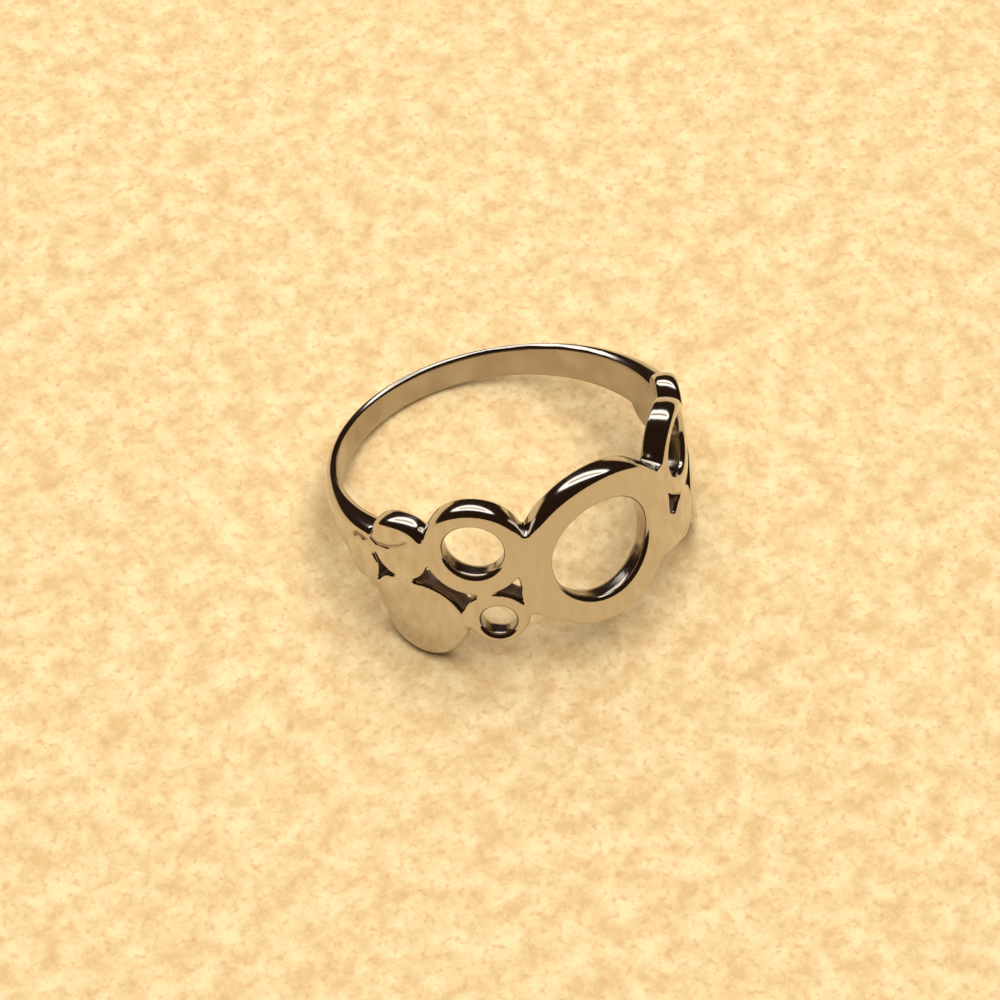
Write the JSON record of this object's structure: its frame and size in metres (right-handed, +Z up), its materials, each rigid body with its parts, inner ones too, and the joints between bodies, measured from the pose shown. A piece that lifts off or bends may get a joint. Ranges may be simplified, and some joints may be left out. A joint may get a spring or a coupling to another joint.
{
  "type": "openwork band ring",
  "caption": "Polished silver band ring whose head is a pierced cluster of round pebbles and open circles, on a plain tapering shank.",
  "frame": {"origin": "on the floor, under the middle of the ring's box, with the ring lying on its side as it rests", "axes": "+Z up from the floor, -Y towards the middle of the head, +X to the right of someone who faces the head"},
  "size_m": [0.0194, 0.0198, 0.0112],
  "materials": {
    "silver": "mirror-polished sterling silver"
  },
  "bodies": {
    "root": {"band_ring": "silver"}
  },
  "joints": []
}
